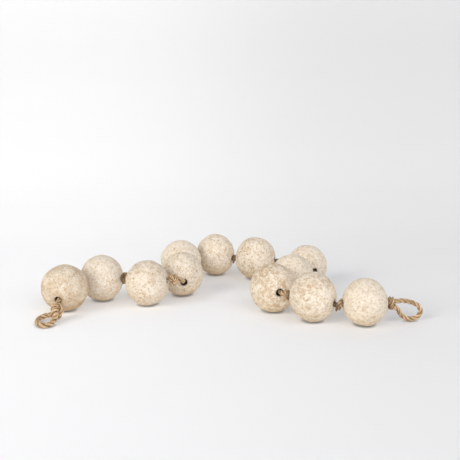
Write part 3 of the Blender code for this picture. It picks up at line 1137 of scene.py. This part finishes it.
def shape_sweep(sweep, settings):
    """Bend a flat grid to the sweep, and store the tone and the glow of its paper."""
    tone = sweep.data.attributes.new("tone", "FLOAT", "POINT").data
    glow = sweep.data.attributes.new("glow", "FLOAT", "POINT").data
    quarter = SWEEP_BEND * math.pi / 2.0
    for vert in sweep.data.vertices:
        along = (vert.co.y + 0.5) * (SWEEP_FLOOR + quarter + SWEEP_WALL)
        angle = min(max((along - SWEEP_FLOOR) / SWEEP_BEND, 0.0), math.pi / 2.0)
        y = min(along, SWEEP_FLOOR) + SWEEP_BEND * math.sin(angle)
        z = SWEEP_BEND * (1.0 - math.cos(angle)) + max(0.0, along - SWEEP_FLOOR - quarter)
        vert.co = (vert.co.x * SWEEP_WIDTH, y + SWEEP_START, z)
        # the paper is toned down where the sweep turns to face the lamps, so it looks even
        normal = Vector((0.0, -math.sin(angle), math.cos(angle)))
        light = settings.sky
        for _, strength, _, way, _ in lamps(settings):
            light += strength * max(0.0, Vector(way).normalized().dot(normal)) / math.pi
        # painted light falloff: the paper is toned brighter on the left and dimmer on the right
        share = 0.5 + 0.5 * math.tanh(vert.co.x / settings.fade)
        wanted = settings.bright + (settings.dim - settings.bright) * share
        wanted *= kept_down(along)
        tone[vert.index].value = wanted * (1.0 - settings.glow) / light
        # painted light: the share of the paper's brightness that it glows with
        glow[vert.index].value = wanted * settings.glow
    sweep.data.update()
    bpy.ops.object.shade_smooth()


def sweep_finish(settings):
    """The finish of the sweep's pale paper."""
    made, tree, shader = new_material("pale paper sweep")
    # painted contact shadow: an ambient-occlusion node darkens the paper's colour and glow right
    # under what stands on it
    near = put(tree, "AmbientOcclusion", (-5, 2), {"Distance": settings.contact}, samples=16)
    shade = put(tree, "MapRange", (-4, 2), {"Value": near.outputs["AO"], "To Min": CONTACT_TONE})
    tone, glow = (
        maths(tree, (-3, row), "MULTIPLY", attribute(tree, row, name), shade.outputs[0])
        for row, name in enumerate(("tone", "glow"))
    )
    tinted = put(tree, "VectorMath", (-2, 0), {0: tone, 1: PAPER_TINT}, operation="MULTIPLY")
    tree.links.new(tinted.outputs[0], shader.inputs["Base Color"])
    # painted light: the paper glows
    tree.links.new(glow, shader.inputs["Emission Color"])
    shader.inputs["Emission Strength"].default_value = 1.0
    shader.inputs["Roughness"].default_value = 0.9
    shader.inputs["Specular IOR Level"].default_value = 0.0
    # from behind, the sweep lets the view through
    seen = put(tree, "NewGeometry", (-1, 2), {}).outputs["Backfacing"]
    clear = put(tree, "BsdfTransparent", (-1, 3), {}).outputs[0]
    shell = put(tree, "MixShader", (2, 0), {0: seen, 1: shader.outputs[0], 2: clear})
    tree.links.new(shell.outputs[0], tree.nodes["Material Output"].inputs["Surface"])
    return made


def light_room(scene, settings):
    """Light the garland from all round; past the sweep's edges the room looks as pale as it."""
    scene.world = scene.world or bpy.data.worlds.new("studio")
    scene.world.use_nodes = True
    tree = scene.world.node_tree
    fill = tree.nodes["Background"]
    fill.inputs["Color"].default_value = FILL_COLOUR
    fill.inputs["Strength"].default_value = settings.sky
    seen = put(tree, "LightPath", (-1, 1), {}).outputs["Is Camera Ray"]
    room = put(tree, "Background", (-1, -1), {"Color": (ROOM_TONE, ROOM_TONE, ROOM_TONE, 1.0)})
    either = put(tree, "MixShader", (1, 0), {0: seen, 1: fill.outputs[0], 2: room.outputs[0]})
    tree.links.new(either.outputs[0], tree.nodes["World Output"].inputs["Surface"])


def hang_lamps(scene, settings):
    """Hang the lamps, of which only the side lamp throws shadows."""
    for name, strength, size, way, colour in lamps(settings):
        lamp = bpy.data.lights.new(name, "SUN")
        lamp.energy, lamp.angle, lamp.color = strength, size, colour
        lamp.use_shadow = name == "side lamp"
        hung = bpy.data.objects.new(name, lamp)
        hung.rotation_euler = (-Vector(way)).to_track_quat("-Z", "Y").to_euler()
        scene.collection.objects.link(hung)


def aim_camera(scene):
    """Look at the garland as the photo does."""
    eye = bpy.data.cameras.new("photo camera")
    eye.lens, eye.sensor_width = LENS, SENSOR
    camera = bpy.data.objects.new("photo camera", eye)
    camera.location = CAMERA_PLACE
    camera.rotation_euler = (math.radians(90.0 - CAMERA_DIP), 0.0, 0.0)
    scene.collection.objects.link(camera)
    scene.camera = camera
    scene.view_settings.view_transform = "Standard"


class GARLAND_OT_stage(bpy.types.Operator):
    """Make the pale sweep under the garland, the lamps and the camera"""

    bl_idname = "garland.stage"
    bl_label = "Stage, lamps and camera"

    def execute(self, context):
        scene, settings = context.scene, context.scene.garland_stage
        bpy.ops.object.select_all(action="DESELECT")
        bpy.ops.mesh.primitive_grid_add(x_subdivisions=60, y_subdivisions=90, size=1.0)
        sweep = context.object
        sweep.name = sweep.data.name = "pale_sweep"
        shape_sweep(sweep, settings)
        sweep.data.materials.append(sweep_finish(settings))
        light_room(scene, settings)
        hang_lamps(scene, settings)
        aim_camera(scene)
        return {"FINISHED"}


# Add-on


class GARLAND_PT_panel(bpy.types.Panel):
    """The garland's makers, each with its settings"""

    bl_label = "Papier-mache garland"
    bl_idname = "GARLAND_PT_panel"
    bl_space_type = "VIEW_3D"
    bl_region_type = "UI"
    bl_category = "Garland"

    def draw(self, context):
        for group, makers in (
            (context.scene.garland_balls, [GARLAND_OT_balls]),
            (context.scene.garland_cord, [GARLAND_OT_strung_cord, GARLAND_OT_end_loops]),
            (context.scene.garland_stage, [GARLAND_OT_stage]),
        ):
            box = self.layout.box()
            for key in group.__annotations__:
                box.prop(group, key)
            for maker in makers:
                box.operator(maker.bl_idname)


SETTINGS = {
    "garland_balls": BallSettings,
    "garland_cord": CordSettings,
    "garland_stage": StageSettings,
}
MAKERS = [GARLAND_OT_balls, GARLAND_OT_strung_cord, GARLAND_OT_end_loops, GARLAND_OT_stage]


def register():
    for made in (*SETTINGS.values(), *MAKERS, GARLAND_PT_panel):
        bpy.utils.register_class(made)
    for name, made in SETTINGS.items():
        setattr(bpy.types.Scene, name, bpy.props.PointerProperty(type=made))


def unregister():
    for name in SETTINGS:
        delattr(bpy.types.Scene, name)
    for made in reversed((*SETTINGS.values(), *MAKERS, GARLAND_PT_panel)):
        bpy.utils.unregister_class(made)


def main():
    """Make every piece."""
    register()
    bpy.ops.garland.stage()
    bpy.ops.garland.strung_cord()
    bpy.ops.garland.end_loops()
    bpy.ops.garland.balls()


if __name__ == "__main__":
    main()
